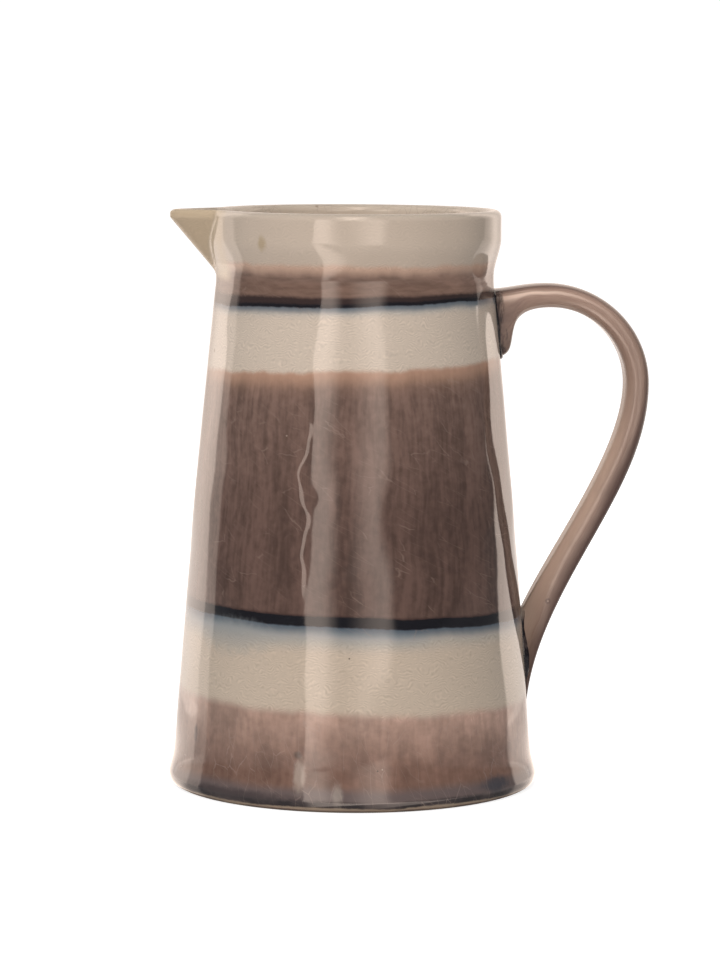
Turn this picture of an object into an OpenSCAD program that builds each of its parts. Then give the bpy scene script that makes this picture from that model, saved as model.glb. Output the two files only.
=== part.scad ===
// Stoneware pitcher: a conical thrown wall on a foot slab, a flared collar, a beak spout and a strap handle.
// The clay pieces are luted together with slip and coated with bands of cream, brown and dark blue glaze.
// Sizes are in millimetres and +Z is up. The origin is the centre of the underside.
// The handle points along +X and the spout along -X.

/* [Wall] */
// Diameter of the wall where it stands on the foot, over its glaze
wall_foot_d = 158; // [130:0.5:180]
// Diameter of the waist, where the collar begins, over its glaze
waist_d = 121.4; // [100:0.2:140]
// Height of the wall from the foot to the waist
wall_h = 212; // [170:0.5:260]
// Outward bow of the wall between the foot and the waist
wall_bow = 1.2; // [0:0.1:4]
// Thickness of the wall and of the lip, glaze included
wall_t = 6.2; // [5:0.1:8]

/* [Foot] */
// How far the foot stands out beyond the wall
foot_out = 1.9; // [0.5:0.1:6]
// Thickness of the foot slab
foot_t = 9; // [8:0.5:14]
// Radius of the rounded edge under the foot
foot_edge_r = 3.5; // [2:0.25:5]
// Height of the bare clay edge under the glaze
bare_edge_h = 1.5; // [1:0.25:2.5]

/* [Collar] */
// Height of the straight neck above the waist
neck_h = 3; // [1:0.5:8]
// Height of the flare above the neck
flare_h = 17; // [10:0.5:26]
// How far the rim stands out beyond the waist
flare_out = 3.65; // [1:0.05:10]
// Height of the upright band under the rim
rim_band_h = 12; // [8:0.5:18]

/* [Spout] */
// Reach of the spout beyond the rim
spout_out = 16.6; // [12:0.2:26]
// Width of the spout where it leaves the rim
spout_w = 28; // [22:0.5:40]
// Drop from the rim to the foot of the spout's keel
spout_drop = 27.5; // [22:0.5:34]
// Thickness of the spout, measured along its length
spout_t = 6.5; // [5:0.1:8]
// Radius of the spout's rounded lip
spout_lip_r = 1.8; // [1.4:0.1:2.4]
// Radius of the spout's keel at its foot
keel_r = 4; // [2:0.25:6]

/* [Handle] */
// Drop from the waist to the top of the upper joint
upper_joint_drop = 3; // [1:0.5:12]
// Length of the upper joint down the wall
upper_joint_l = 31; // [25:0.5:40]
// Height of the top of the lower joint
lower_joint_h = 78; // [60:0.5:95]
// Length of the lower joint down the wall
lower_joint_l = 47; // [36:0.5:50]
// Reach of the handle beyond the wall
handle_out = 65.2; // [50:0.2:80]
// Drop from the upper joint to the handle's farthest point
reach_drop = 42; // [34:0.5:56]
// Rise of the handle's crest above the upper joint
crest_rise = 2.6; // [0:0.2:8]
// Thickness of the grip
grip_t = 10.5; // [8:0.5:14]
// Width of the grip
grip_w = 19; // [15:0.5:26]
// Width of the handle at its joints
joint_w = 22; // [16:0.5:30]

/* [Glaze] */
// Thickness of the glaze coats
glaze_t = 0.5; // [0.3:0.05:0.8]
// Thickness of the slip between wall, foot and collar
slip_t = 0.5; // [0.3:0.05:1]
// Width of the slip that shows around the handle's joints
slip_edge = 1.2; // [0.6:0.1:2.5]
// Top of the dark line around the foot
foot_line_h = 7; // [5:0.25:9]
// Width of the brown band above the foot
foot_band_w = 34.5; // [25:0.5:45]
// How far the slip of the lower joint laps onto the lower blue line
line_lap = 1.2; // [0.5:0.1:2]
// Width of the lower blue line
lower_line_w = 4; // [2:0.25:8]
// Width of the upper cream band
upper_cream_w = 27; // [15:0.5:40]
// Width of the upper blue line
upper_line_w = 3.5; // [2:0.25:6]
// Width of the brown band around the neck
neck_band_w = 13.5; // [8:0.5:18]
// Width of the cream band under the rim
collar_band_w = 23; // [15:0.5:28]

/* [Hidden] */

$fn = 96;

// Colours of the clay and the glazes
clay = [0.79, 0.70, 0.58];
slip = [0.20, 0.18, 0.20];
cream = [0.78, 0.71, 0.63];
liner = [0.74, 0.67, 0.59];
brown = [0.43, 0.35, 0.31];
light_brown = [0.55, 0.45, 0.40];
mauve_brown = [0.62, 0.52, 0.47];
blue_black = [0.13, 0.13, 0.18];

// Radii of the finished outside
wall_foot_r = wall_foot_d / 2;
foot_r = wall_foot_r + foot_out;
waist_r = waist_d / 2;
rim_r = waist_r + flare_out;

// Heights above the underside
waist_h = foot_t + wall_h;
neck_top_h = waist_h + neck_h;
flare_top_h = neck_top_h + flare_h;
rim_h = flare_top_h + rim_band_h;

// Edges of the glaze bands: two are stacked from the foot, the lower blue line runs at the lower joint,
// four are stacked from the rim, and the lower cream and the wide brown band fill what lies between
foot_band_h = foot_line_h + foot_band_w;
lower_line_h = lower_joint_h + slip_edge - line_lap;
wide_foot_h = lower_line_h + lower_line_w;
neck_band_h = rim_h - collar_band_w;
upper_line_top_h = neck_band_h - neck_band_w;
upper_line_h = upper_line_top_h - upper_line_w;
wide_top_h = upper_line_h - upper_cream_w;

// The lip is a half round as thick as the wall
lip_r = wall_t / 2;
lip_axis = [rim_r - lip_r, rim_h - lip_r];

// Points on each curved stretch of the outline
edge_steps = 6;
wall_steps = 12;
flare_steps = 8;
lip_steps = 6;

// The foot's shoulder starts to turn in at this share of the way from its rounded edge to its top
shoulder_share = 0.2;
shoulder_h = foot_edge_r + (foot_t - foot_edge_r) * shoulder_share;

// Radius of the glaze that pools in the corner of the floor
floor_corner_r = 6;

// A small length used to tell two heights apart
step_min = 0.01;

// Room between a coat on the wall and the clay under it, so that the two don't cross
coat_gap = 0.02;

// Smooth step from 0 to 1
function ease(t) = t * t * (3 - 2 * t);

// Foot edge: a quarter circle, as [height, radius]
edge_line = [
    for (i = [0 : edge_steps])
        let (a = 90 * i / edge_steps)
        [foot_edge_r * (1 - cos(a)), foot_r - foot_edge_r * (1 - sin(a))]
];

// Foot shoulder: a smooth step from the widest part in to the wall
shoulder_line = [
    for (i = [0 : edge_steps])
        let (t = i / edge_steps)
        [
            shoulder_h + (foot_t - shoulder_h) * t,
            foot_r + (wall_foot_r - foot_r) * ease(t)
        ]
];

// Wall: a straight cone with a shallow parabolic bow
wall_line = [
    for (i = [1 : wall_steps])
        let (t = i / wall_steps)
        [
            foot_t + wall_h * t,
            wall_foot_r + (waist_r - wall_foot_r) * t + 4 * wall_bow * t * (1 - t)
        ]
];

// Collar: a smooth step from the neck out to the upright band under the rim
flare_line = [
    for (i = [0 : flare_steps])
        let (t = i / flare_steps)
        [
            neck_top_h + flare_h * t,
            waist_r + flare_out * ease(t)
        ]
];

outline = concat(edge_line, shoulder_line, wall_line, flare_line, [[lip_axis[1], rim_r]]);

// Finished outer radius at a height
function outer_r(z) = lookup(z, outline);

// Widest radius of the pot
widest_r = max([for (p = outline) p[1]]);

// Finished inner radius at a height above the floor
function inner_r(z) = outer_r(z) - wall_t;

function reverse(list) = [for (i = [len(list) - 1 : -1 : 0]) list[i]];

// Side of the pot between two heights as [radius, height], at a depth under the finished outside
function side(z0, z1, depth) = concat(
    [[outer_r(z0) - depth, z0]],
    [for (p = outline) if (p[0] > z0 + step_min && p[0] < z1 - step_min) [p[1] - depth, p[0]]],
    [[outer_r(z1) - depth, z1]]
);

// Part of the lip's half round between two angles, at a depth under the finished surface
function lip(a0, a1, depth) = [
    for (i = [0 : lip_steps])
        let (a = a0 + (a1 - a0) * i / lip_steps)
        lip_axis + (lip_r - depth) * [cos(a), sin(a)]
];

// Round corner where the inside wall meets the floor
function floor_corner(floor_h) =
    let (centre = [inner_r(floor_h + floor_corner_r) - floor_corner_r, floor_h + floor_corner_r])
    [
        for (i = [0 : edge_steps])
            let (a = -90 + 90 * i / edge_steps)
            centre + floor_corner_r * [cos(a), sin(a)]
    ];

// Ring of clay between two heights, under the glaze inside and outside
module clay_ring(z0, z1) {
    rotate_extrude()
        polygon(concat(side(z0, z1, glaze_t), reverse(side(z0, z1, wall_t - glaze_t))));
}

// The clay collar with its rounded lip, before the notch for the spout
module collar_ring() {
    rotate_extrude()
        polygon(concat(
            side(waist_h + slip_t, lip_axis[1], glaze_t),
            lip(0, 180, glaze_t),
            reverse(side(waist_h + slip_t, lip_axis[1], wall_t - glaze_t))
        ));
}

// Everything inside the outside surface, at a depth under the finished glaze
module envelope(depth) {
    rotate_extrude()
        polygon(concat(
            [[0, 0]],
            side(0, lip_axis[1], depth),
            lip(0, 90, depth),
            [[0, rim_h - depth]]
        ));
}

// The coat of glaze between two heights, without its windows
module coat_ring(z0, z1) {
    rotate_extrude()
        polygon(concat(side(z0, z1, 0), reverse(side(z0, z1, glaze_t - coat_gap))));
}

// Coat of glaze between two heights, left open under the handle's joints
module coat(z0, z1) {
    difference() {
        coat_ring(z0, z1);
        upper_joint_window();
        lower_joint_window();
    }
}

// Upright slot with round ends that reaches out through the wall at the handle
module joint_window(top_h, length) {
    window_r = joint_w / 2 + slip_edge;
    upper_h = top_h + slip_edge - window_r;
    lower_h = top_h - length - slip_edge + window_r;
    for (h = [upper_h, lower_h])
        translate([0, 0, h])
            rotate([0, 90, 0])
                cylinder(r = window_r, h = widest_r);
    translate([0, -window_r, lower_h])
        cube([widest_r, 2 * window_r, upper_h - lower_h]);
}

module upper_joint_window() {
    joint_window(upper_joint_h, upper_joint_l);
}

module lower_joint_window() {
    joint_window(lower_joint_h, lower_joint_l);
}

// Slip that fills a window down to the clay
module joint_slip(top_h, length) {
    intersection() {
        joint_window(top_h, length);
        coat_ring(bare_edge_h, lip_axis[1]);
    }
}

// Spout: the half-width grows in a straight line from the tip to the rim
spout_half_w = spout_w / 2;
spout_reach = rim_r + spout_out;
rim_chord = sqrt(rim_r * rim_r - spout_half_w * spout_half_w);
spout_slope = spout_half_w / (spout_reach - rim_chord);
// How far inside the outside surface the roots of the spout lie
root_in = 9;
root_x = rim_r - root_in;
root_half_w = spout_slope * (spout_reach - root_x);
// The keel runs straight from under the tip to the neck
keel_top = [spout_reach, rim_h - 2 * spout_lip_r];
keel_neck = [waist_r, rim_h - spout_drop];
keel_way = (keel_neck - keel_top) / norm(keel_neck - keel_top);
keel_foot = keel_neck + keel_way * root_in;
// Height that the channel is cut above the rim
channel_over = 12;
// Radius in the bottom of the channel
channel_r = 1;
ball_steps = 24;

// A round corner of the spout, placed by [distance out from the axis, width to one side, height]
module ball(out, aside, h, r) {
    translate([-out, aside, h])
        sphere(r = r, $fn = ball_steps);
}

// The beak before it is hollowed, at a depth under its finished surface
module spout_block(depth) {
    lip_ball = spout_lip_r - depth;
    hull() {
        ball(spout_reach - spout_lip_r, 0, rim_h - spout_lip_r, lip_ball);
        for (s = [-1, 1])
            ball(root_x, s * (root_half_w - spout_lip_r), rim_h - spout_lip_r, lip_ball);
        ball(
            keel_foot[0] + keel_way[1] * keel_r,
            0,
            keel_foot[1] - keel_way[0] * keel_r,
            keel_r - depth
        );
    }
}

// The pouring channel: the beak's own shape moved back towards the axis
module spout_channel(depth) {
    r = channel_r + depth;
    tip = spout_reach - spout_t - channel_r;
    // The channel runs on through the collar to the inside
    back_x = root_x - root_in;
    back_half_w = spout_slope * (spout_reach - spout_t - back_x);
    back_keel = keel_foot + keel_way * root_in;
    corners = [[-tip, 0], [-back_x, back_half_w - channel_r], [-back_x, channel_r - back_half_w]];
    hull() {
        for (corner = corners)
            translate([corner[0], corner[1], rim_h - spout_lip_r])
                cylinder(r = r, h = channel_over, $fn = ball_steps);
        ball(back_keel[0] - spout_t, 0, back_keel[1] + 2 * channel_r, r);
    }
}

// Handle: a strap between an outer and an inner edge, each a chain of three Bezier curves in [x, height]
upper_joint_h = waist_h - upper_joint_drop;
// Depth of the handle's roots inside the outside surface
handle_root = 4;
// How much further the clay's roots run than its glaze
root_run = 2;
// How far below the upper joint the tongue's root lies
tongue_sink = 2;
// Depth of the heel's thin end, and of the strap's underside where it runs into the wall
heel_in = 0.4;
crotch_in = [1.3, 6.6];
// Distance of the crest from the wall, and of the underside's top beyond the crest
crest_out = 24;
under_out = 1.5;
// Share of a quarter turn that its Bezier handles take
quarter = 0.5523;
// How far the strap leaves the wall flat before it rises to the crest
rise_share = 0.4;
// Pull of the tongue that runs down the wall under the upper joint, out and up from its root
tongue_pull = [16.2, 1.2];
// Straight pull of the underside back from the crest to the tongue
fillet_pull = 28;
// Straight pull of the outer and inner edge below the farthest point
outer_pull = 50;
inner_pull = 30.8;
// How far the two edges stand off the wall, and how high, before they settle on the lower joint
outer_settle = [3.8, 57];
inner_settle = [12.5, 23.7];

crest = [outer_r(upper_joint_h) + crest_out, upper_joint_h + crest_rise];
crest_under = [crest[0] + under_out, crest[1] - grip_t];
reach_h = upper_joint_h - reach_drop;
reach_out = [outer_r(reach_h) + handle_out, reach_h];
reach_in = reach_out - [grip_t, 0];
tongue_h = upper_joint_h - upper_joint_l;
heel_h = lower_joint_h - lower_joint_l;
outer_root = [outer_r(upper_joint_h) - handle_root, upper_joint_h];
inner_root = [outer_r(tongue_h) - handle_root, tongue_h - tongue_sink];
outer_heel = [outer_r(heel_h) - heel_in, heel_h];
inner_heel = [outer_r(lower_joint_h), lower_joint_h] - crotch_in;

outer_edge = [
    [
        outer_root,
        outer_root + [rise_share * (crest[0] - outer_root[0]), 0],
        crest - [rise_share * (crest[0] - outer_root[0]), 0],
        crest
    ],
    [
        crest,
        crest + [quarter * (reach_out[0] - crest[0]), 0],
        reach_out + [0, quarter * (crest[1] - reach_out[1])],
        reach_out
    ],
    [
        reach_out,
        reach_out - [0, outer_pull],
        outer_heel + outer_settle,
        outer_heel
    ]
];

inner_edge = [
    [
        inner_root,
        inner_root + tongue_pull,
        crest_under - [fillet_pull, 0],
        crest_under
    ],
    [
        crest_under,
        crest_under + [quarter * (reach_in[0] - crest_under[0]), 0],
        reach_in + [0, quarter * (crest_under[1] - reach_in[1])],
        reach_in
    ],
    [
        reach_in,
        reach_in - [0, inner_pull],
        [outer_r(lower_joint_h), lower_joint_h] + inner_settle,
        inner_heel
    ]
];

// Rings along each of the three curves, and sides of a ring
curve_rings = [9, 9, 11];
strap_sides = 20;
// Roundness of the strap's section: 2 is an ellipse, more is squarer
strap_power = 2.6;
// How late the strap widens towards its joints
widen_power = 6;

function bezier(p, t) =
    pow(1 - t, 3) * p[0] + 3 * t * pow(1 - t, 2) * p[1] + 3 * t * t * (1 - t) * p[2] + pow(t, 3) * p[3];

function along(edge) = concat(
    [for (c = [0 : 2]) for (i = [0 : curve_rings[c] - 1]) bezier(edge[c], i / curve_rings[c])],
    [edge[2][3]]
);

strap_outer = along(outer_edge);
strap_inner = along(inner_edge);
last_ring = len(strap_outer) - 1;

function rounded(v) = sign(v) * pow(abs(v), 2 / strap_power);

function strap_w(k) = grip_w + (joint_w - grip_w) * pow(abs(2 * k / last_ring - 1), widen_power);

// One ring of the strap, at a depth under its finished surface, moved towards the axis by a distance
function strap_ring(k, depth, back) =
    let (
        middle = (strap_outer[k] + strap_inner[k]) / 2,
        half = (strap_outer[k] - strap_inner[k]) / 2,
        thick = half * (1 - depth / norm(half)),
        wide = strap_w(k) / 2 - depth
    )
    [
        for (j = [0 : strap_sides - 1])
            let (
                a = 360 * j / strap_sides,
                p = middle + thick * rounded(cos(a))
            )
            [p[0] - back, wide * rounded(sin(a)), p[1]]
    ];

// The strap as one closed solid, whose two ends may run on towards the axis
module strap(depth, back) {
    points = concat(
        strap_ring(0, depth, back),
        [for (k = [1 : last_ring - 1]) each strap_ring(k, depth, 0)],
        strap_ring(last_ring, depth, back)
    );
    first_cap = [for (j = [strap_sides - 1 : -1 : 0]) j];
    last_cap = [for (j = [0 : strap_sides - 1]) last_ring * strap_sides + j];
    skin = [
        for (k = [0 : last_ring - 1])
            for (j = [0 : strap_sides - 1])
                let (
                    a = k * strap_sides + j,
                    b = k * strap_sides + (j + 1) % strap_sides
                )
                each [[a, b, a + strap_sides], [b, b + strap_sides, a + strap_sides]]
    ];
    polyhedron(points, concat([first_cap, last_cap], skin));
}

// Clay pieces

module foot_slab() {
    color(clay)
        rotate_extrude()
            polygon(concat([[0, 0]], side(0, foot_t, glaze_t), [[0, foot_t]]));
}

module body_wall() {
    color(clay)
        clay_ring(foot_t + slip_t, waist_h);
}

module collar() {
    color(clay)
        difference() {
            collar_ring();
            spout_channel(glaze_t);
        }
}

module spout() {
    color(clay)
        difference() {
            spout_block(glaze_t);
            spout_channel(glaze_t);
            envelope(0);
        }
}

module handle() {
    color(clay)
        difference() {
            strap(glaze_t, root_run);
            envelope(0);
        }
}

// Slip joints

module foot_slip() {
    color(slip)
        clay_ring(foot_t, foot_t + slip_t);
}

module neck_slip() {
    color(slip)
        clay_ring(waist_h, waist_h + slip_t);
}

module spout_slip() {
    color(slip)
        difference() {
            intersection() {
                spout_block(0);
                envelope(0);
            }
            envelope(glaze_t);
            spout_channel(0);
        }
}

module upper_handle_slip() {
    color(slip)
        joint_slip(upper_joint_h, upper_joint_l);
}

module lower_handle_slip() {
    color(slip)
        joint_slip(lower_joint_h, lower_joint_l);
}

// Glaze coats

module liner_glaze() {
    floor_h = foot_t + glaze_t;
    corner_top = floor_h + floor_corner_r;
    color(liner)
        difference() {
            rotate_extrude()
                polygon(concat(
                    [[0, floor_h]],
                    floor_corner(floor_h),
                    side(corner_top, lip_axis[1], wall_t),
                    reverse(lip(90, 180, 0)),
                    lip(90, 180, glaze_t),
                    reverse(side(foot_t, lip_axis[1], wall_t - glaze_t)),
                    [[0, foot_t]]
                ));
            spout_channel(0);
        }
}

module collar_cream_glaze() {
    color(cream)
        difference() {
            rotate_extrude()
                polygon(concat(
                    side(neck_band_h, lip_axis[1], 0),
                    lip(0, 90, 0),
                    lip(90, 0, glaze_t),
                    reverse(side(neck_band_h, lip_axis[1], glaze_t))
                ));
            spout_block(0);
            spout_channel(0);
        }
}

module neck_brown_glaze() {
    color(light_brown)
        difference() {
            coat(upper_line_top_h, neck_band_h);
            spout_block(0);
        }
}

module upper_blue_line() {
    color(blue_black)
        coat(upper_line_h, upper_line_top_h);
}

module upper_cream_glaze() {
    color(cream)
        coat(wide_top_h, upper_line_h);
}

module wide_brown_glaze() {
    color(brown)
        coat(wide_foot_h, wide_top_h);
}

module lower_blue_line() {
    color(blue_black)
        coat(lower_line_h, wide_foot_h);
}

module lower_cream_glaze() {
    color(cream)
        coat(foot_band_h, lower_line_h);
}

module foot_brown_glaze() {
    color(light_brown)
        coat(foot_line_h, foot_band_h);
}

module foot_blue_line() {
    color(blue_black)
        coat_ring(bare_edge_h, foot_line_h);
}

module spout_glaze() {
    color(cream)
        difference() {
            spout_block(0);
            spout_channel(0);
            envelope(0);
            difference() {
                spout_block(glaze_t);
                spout_channel(glaze_t);
            }
        }
}

// Coat of the notch where the channel runs through the collar
module channel_glaze() {
    color(cream)
        difference() {
            intersection() {
                collar_ring();
                spout_channel(glaze_t);
            }
            spout_channel(0);
        }
}

module handle_glaze() {
    color(mauve_brown)
        difference() {
            strap(0, 0);
            strap(glaze_t, root_run);
            envelope(0);
        }
}

foot_slab();
foot_slip();
body_wall();
neck_slip();
collar();
spout();
spout_slip();
handle();
upper_handle_slip();
lower_handle_slip();
liner_glaze();
collar_cream_glaze();
neck_brown_glaze();
upper_blue_line();
upper_cream_glaze();
wide_brown_glaze();
lower_blue_line();
lower_cream_glaze();
foot_brown_glaze();
foot_blue_line();
spout_glaze();
channel_glaze();
handle_glaze();
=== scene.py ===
import math
import bpy
import numpy as np
from mathutils import Matrix, Vector


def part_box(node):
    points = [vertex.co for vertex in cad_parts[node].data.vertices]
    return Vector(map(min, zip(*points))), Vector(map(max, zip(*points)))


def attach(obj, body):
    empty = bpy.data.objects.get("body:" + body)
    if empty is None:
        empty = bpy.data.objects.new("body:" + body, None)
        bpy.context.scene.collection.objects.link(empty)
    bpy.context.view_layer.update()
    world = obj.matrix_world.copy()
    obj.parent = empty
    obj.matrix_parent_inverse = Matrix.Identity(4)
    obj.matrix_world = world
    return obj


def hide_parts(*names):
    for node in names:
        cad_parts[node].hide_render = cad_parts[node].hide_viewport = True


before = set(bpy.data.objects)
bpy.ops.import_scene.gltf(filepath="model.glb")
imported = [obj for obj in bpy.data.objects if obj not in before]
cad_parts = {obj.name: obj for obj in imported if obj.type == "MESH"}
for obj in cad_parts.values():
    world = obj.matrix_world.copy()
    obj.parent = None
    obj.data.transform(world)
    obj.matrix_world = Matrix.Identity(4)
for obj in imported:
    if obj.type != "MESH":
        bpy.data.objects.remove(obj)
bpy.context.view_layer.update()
print("frame loaded:", len(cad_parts), "nodes")

mm = 0.001  # shapes are worked out in millimetres, meshes and lights are made in metres
axisX, axisY, axisZ = range(3)


# lowest and highest place of a CAD node along one axis, in millimetres
def low(node, axis):
    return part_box(node)[0][axis] / mm


def high(node, axis):
    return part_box(node)[1][axis] / mm


# smooth step from 0 to 1
def ease(t):
    t = np.clip(t, 0, 1)
    return t * t * (3 - 2 * t)


# larger of two surfaces, with a fillet of the given width where they cross
def filletMax(a, b, width):
    share = np.clip(0.5 + 0.5 * (a - b) / width, 0, 1)
    return b + (a - b) * share + width * share * (1 - share)


# point on a cubic Bezier curve: the four control points weighted by the Bernstein powers of t
def bezier(control, t):
    t = t[:, None]
    p = np.array(control, float)
    return (1 - t) ** 3 * p[0] + 3 * t * (1 - t) ** 2 * p[1] + 3 * t * t * (1 - t) * p[2] + t ** 3 * p[3]


# points at a radius, an angle from the front and a height
def onPot(radius, angle, height):
    return np.stack(np.broadcast_arrays(radius * np.sin(angle), -radius * np.cos(angle), height), axis=-1)


# rows of several grids in one
def joined(*grids):
    return np.concatenate(grids)


# puts a mesh, a lamp or a camera into the scene
def addObject(name, data):
    thing = bpy.data.objects.new(name, data)
    bpy.context.scene.collection.objects.link(thing)
    return thing


# Thrown body

coat = high("collar_cream_glaze", axisY) - high("collar", axisY)  # thickness of the glaze

pot = {
    "footRadius": high("foot_blue_line", axisY) + 0.5,  # the glaze is full at the foot
    "wallRadius": high("body_wall", axisY) + coat,  # where the wall stands on the foot
    "waistRadius": high("neck_slip", axisY) + coat,
    "rimRadius": high("collar_cream_glaze", axisY),
    "bareEdge": low("foot_blue_line", axisZ),  # the glaze stops here above the underside
    "footTop": high("foot_slab", axisZ),
    "waist": high("body_wall", axisZ),
    "rim": high("collar_cream_glaze", axisZ),
    "floor": high("foot_slab", axisZ) + coat,
    "edgeRound": 4.2,  # round edge under the foot
    "shoulder": 5.0,  # height at which the foot turns in to the wall
    "footFlare": 5.5,  # height over which most of its flare dies away up the wall
    "footSweep": 1.3,  # above 1 the flare starts softly
    "bow": 1.2,  # outward bow of the wall
    "neck": 3.0,  # straight neck above the waist
    "flare": 17.0,  # height of the flare above the neck
    "wall": 6.2,  # thickness of wall and lip
    "floorRound": 6.0,  # pooled corner inside
    "floorRise": 0.25,  # rise of the floor's middle, and depth of its rings
    "floorRings": 40,  # radians of their wave, from the corner to the middle
    "floorHole": 0.04,  # share of the floor's radius that the fan at its middle takes
    "underRings": (0.12, 6.0),  # depth and pitch of the turning rings under the foot
    "underFade": (8.0, 6.0),  # they end this far in from the edge, and fade over this
    "underHole": 3.0,  # radius of the fan under the foot
    "slabHole": 0.05,  # share that the fan of the slab's hidden top takes
    "slabGap": 0.02,  # the slab's side is just clear of the glaze
    "nearLip": 0.14,  # share of the inside wall, under the lip, where rows are closer
    "columns": 350,
    "fineColumns": 7201,  # steps in which their spacing is summed
    "hiddenStep": 3,  # the hidden face of a coat has every third row, the collar's clay every second
    "clayStep": 2,
    "rowStep": 1.4,
    "firstStep": 0.7,  # at the foot's round edge
    "rows": {  # of each stretch of the skin, then of the slab's hidden side and top
        "under": 40,
        "edge": 7,
        "collar": 26,
        "lip": 17,
        "lipInside": 22,
        "inside": 60,
        "corner": 9,
        "floor": 24,
        "slabSide": 8,
        "slabTop": 12,
    },
}

# faint unevenness of the thrown wall and of the poured glaze
throwing = {
    "terms": 30,
    "lean": 0.010,  # typical slope of the surface, in radians
    "lobes": (4, 16),  # waves around the pot
    "climb": (22.0, 130.0),  # millimetres between crests up the wall
    "most": 0.35,  # the coat never dips or swells further than this
    "inside": (0.6, 2.0),  # share of it on the inside, and how far it is turned there, in radians
    "seed": 11,
}

# a thin run of glaze down the front, beside it two dimples: angle, height, depth, half width and half height
glazeRun = {
    "angle": -24.1,
    "wander": 1.9,  # degrees
    "middle": 141.0,
    "period": 38.0,
    "bottom": 88.0,
    "top": 172.0,
    "height": 0.15,
    "halfWidth": 1.15,
    "ripple": (0.2, 2.9),  # share and pace of a second swing
    "straight": 102.0,  # no swing below this, and a little further right
    "straightTurn": 1.0,
    "swingFade": 14.0,
    "endFade": 12.0,
    "closer": (3.4, 4.5),  # columns stand closer here: how much, and over how many degrees
    "hollows": ((-21.3, 133.5, 0.20, 4.0, 4.2), (-24.0, 162.0, 0.27, 3.4, 13.0)),
}

beak = {
    "reach": -low("spout_glaze", axisX),
    "slope": 0.771,  # half-width gained for each millimetre back from the tip
    "keelTop": high("spout_glaze", axisZ) - 3.6,
    "keelFoot": high("spout_glaze", axisZ) - 27.5,
    "thick": 6.5,  # measured along the beak
    "lip": 1.8,
    "lipAngle": 0.17,  # radians: the lip is thin up to half of this from the tip, and full at one and a half
    "within": 0.5,  # cosine of the widest angle from the tip
    "tipRound": 0.024,
    "channelRound": 0.06,
    "fillet": 1.6,
    "channelFillet": 3.0,
    "bearing": -90.0,
    "closer": (2.4, 12.0),
}


# outer radius at a height: a quarter round edge on the foot and a flare that dies away upwards, then a
# straight cone with a parabolic bow, then an eased step out to the rim
def potRadius(z):
    under = np.clip(pot["edgeRound"] - z, 0, None)
    edgeIn = pot["edgeRound"] - np.sqrt(np.clip(pot["edgeRound"] ** 2 - under ** 2, 0, None))
    step = 1 - np.exp(-(np.clip(z - pot["shoulder"], 0, None) / pot["footFlare"]) ** pot["footSweep"])
    climb = np.clip((z - pot["footTop"]) / (pot["waist"] - pot["footTop"]), 0, 1)
    bow = 4 * pot["bow"] * climb * (1 - climb)
    flare = ease((z - pot["waist"] - pot["neck"]) / pot["flare"])
    foot = pot["footRadius"] - edgeIn - (pot["footRadius"] - pot["wallRadius"]) * step
    wall = foot + (pot["waistRadius"] - pot["wallRadius"]) * climb + bow
    return wall + (pot["rimRadius"] - pot["waistRadius"]) * flare


# sum of slanted cosine waves around and up the pot, each as tall as its lobes allow for the same slope
def handWave(angle, z):
    random = np.random.default_rng(throwing["seed"])
    count = throwing["terms"]
    lobes = random.integers(throwing["lobes"][0], throwing["lobes"][1], count)
    climb = random.uniform(throwing["climb"][0], throwing["climb"][1], count) * random.choice([-1, 1], count)
    phase = random.uniform(0, 2 * np.pi, count)
    height = throwing["lean"] * math.sqrt(2 / count) * pot["wallRadius"] / lobes
    turn = angle[..., None] * lobes + z[..., None] * (2 * np.pi / climb) + phase
    wave = (height * np.cos(turn)).sum(-1)
    return throwing["most"] * np.tanh(wave / throwing["most"])


# the run is a bell-shaped ridge about a wandering line, beside it bell-shaped hollows
def runRelief(angle, z):
    climb = z - glazeRun["middle"]
    turn = 2 * np.pi * climb / glazeRun["period"]
    swinging = ease((z - glazeRun["straight"]) / glazeRun["swingFade"])
    share, pace = glazeRun["ripple"]
    swing = glazeRun["wander"] * swinging * (np.cos(turn) + share * np.sin(pace * turn))
    middle = glazeRun["angle"] + glazeRun["straightTurn"] * (1 - swinging) - swing
    offset = np.radians(np.degrees(angle) - middle) * potRadius(z)
    endFade = glazeRun["endFade"]
    length = ease((z - glazeRun["bottom"]) / endFade) * ease((glazeRun["top"] - z) / endFade)
    ridge = glazeRun["height"] * length * np.exp(-(offset / glazeRun["halfWidth"]) ** 2)
    for turned, height, depth, across, up in glazeRun["hollows"]:
        away = np.radians(np.degrees(angle) - turned) * potRadius(z) / across
        ridge = ridge - depth * np.exp(-(away ** 2 + ((z - height) / up) ** 2))
    return ridge


# radius of the beak at a height: a V in plan whose tip slides in along the straight keel
def beakRadius(angle, z, back, tipRound):
    off = angle - math.radians(beak["bearing"])
    waistward = (beak["reach"] - pot["waistRadius"]) / (beak["keelTop"] - beak["keelFoot"])
    tip = beak["reach"] - back - waistward * np.clip(beak["keelTop"] - z, 0, None)
    side = np.sqrt(np.sin(off) ** 2 + tipRound ** 2) + beak["slope"] * np.cos(off)
    ahead = np.cos(off) > beak["within"]
    return np.where(ahead, tip * (beak["slope"] + tipRound) / np.where(ahead, side, 1), 0)


# angles around the pot from the front, closer together at the beak and at the glaze run
def columnAngles():
    dense = np.linspace(-180, 180, pot["fineColumns"])
    weight = 1
    for middle, spot in ((beak["bearing"], beak), (glazeRun["angle"], glazeRun)):
        more, spread = spot["closer"]
        weight = weight + more * np.exp(-((dense - middle) / spread) ** 4)
    total = joined([0], np.cumsum(0.5 * (weight[1:] + weight[:-1])))
    return np.radians(np.interp(np.arange(pot["columns"]) / pot["columns"], total / total[-1], dense))


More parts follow.
